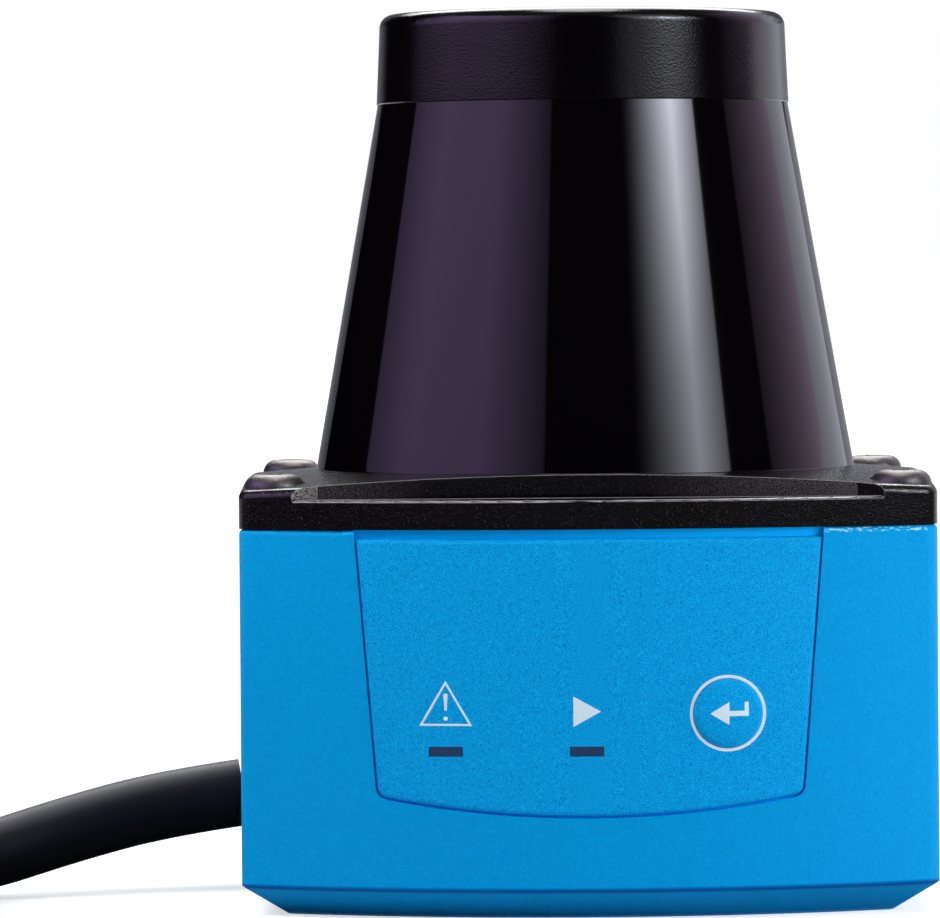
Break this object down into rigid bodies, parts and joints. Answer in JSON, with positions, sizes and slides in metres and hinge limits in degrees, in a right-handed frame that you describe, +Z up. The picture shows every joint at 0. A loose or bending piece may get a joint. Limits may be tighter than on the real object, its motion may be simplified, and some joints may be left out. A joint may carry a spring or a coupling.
{
  "type": "scanning lidar sensor",
  "caption": "Compact scanning lidar: blue cast housing with a curved control panel, black conical hood over a spinning mirror, and a cable with a plug.",
  "frame": {"origin": "middle of the housing's base", "axes": "+Z up along the mirror's axis, -Y out of the control panel, +X to the right seen from the front"},
  "size_m": [0.1719, 0.1077, 0.0781],
  "materials": {
    "housing_paint": "fine textured powder coat",
    "panel_blue": "fine textured",
    "hood_black": "glossy cone, grained cap and flange",
    "window_smoke": "smoked moulded",
    "button_blue": "satin",
    "seal_rubber": "matt",
    "screw_steel": "satin",
    "bearing_steel": "ground",
    "board_green": "solder mask",
    "carrier_metal": "cast",
    "tube_black": "black anodised",
    "lens_glass": "polished",
    "mirror_face": "front-coated glass",
    "black_plastic": "moulded",
    "cable_jacket": "satin jacket",
    "coil_copper": "enamelled wire",
    "core_iron": "laminated",
    "magnet_dark": "sintered",
    "flex_amber": "film",
    "lamp_white": "clear cast",
    "pin_gold": "plated"
  },
  "bodies": {
    "base": {"housing": "housing_paint", "front_panel": "panel_blue", "optical_hood": "hood_black", "light_pipes": "window_smoke", "teach_switch": "black_plastic", "hood_gasket": "seal_rubber", "flange_screws": "screw_steel", "panel_board": "board_green", "panel_screws": "screw_steel", "status_leds": "lamp_white", "panel_header": "black_plastic", "main_board": "board_green", "board_standoffs": "screw_steel", "cable_header": "black_plastic", "wire_harness": "black_plastic", "detector": "bearing_steel", "detector_window": "lens_glass", "receiver_baffle": "black_plastic", "receiver_lens": "lens_glass", "lens_retainer": "tube_black", "optics_carrier": "carrier_metal", "carrier_screws": "screw_steel", "laser_tube": "tube_black", "collimator_lens": "lens_glass", "laser_diode": "pin_gold", "laser_board": "board_green", "laser_flex": "flex_amber", "motor_flex": "flex_amber", "motor_bearings": "bearing_steel", "motor_stator": "core_iron", "stator_coils": "coil_copper", "encoder_sensor": "black_plastic", "cable_gland": "cable_jacket", "cable": "cable_jacket", "cable_coil": "cable_jacket", "cable_tail": "cable_jacket", "coil_tie": "black_plastic", "plug_body": "black_plastic", "plug_collar": "bearing_steel", "plug_insert": "black_plastic", "plug_pins": "pin_gold", "plug_thumbscrews": "screw_steel"},
    "scan_rotor": {"rotor_shaft": "bearing_steel", "rotor_bell": "core_iron", "rotor_magnet": "magnet_dark", "mirror_carrier": "carrier_metal", "scan_mirror": "mirror_face", "encoder_disc": "lens_glass"},
    "button": {"teach_button": "button_blue", "switch_plunger": "black_plastic"}
  },
  "joints": [
    {"name": "mirror_spin", "type": "hinge", "parent": "base", "child": "scan_rotor", "pos_m": [0, 0, 0.0525], "axis": [0, 0, 1], "continuous": true},
    {"name": "teach_press", "type": "slide", "parent": "base", "child": "button", "axis": [0, 1, 0], "range_m": [0, 0.00035], "stiffness_N_per_m": 3000}
  ]
}
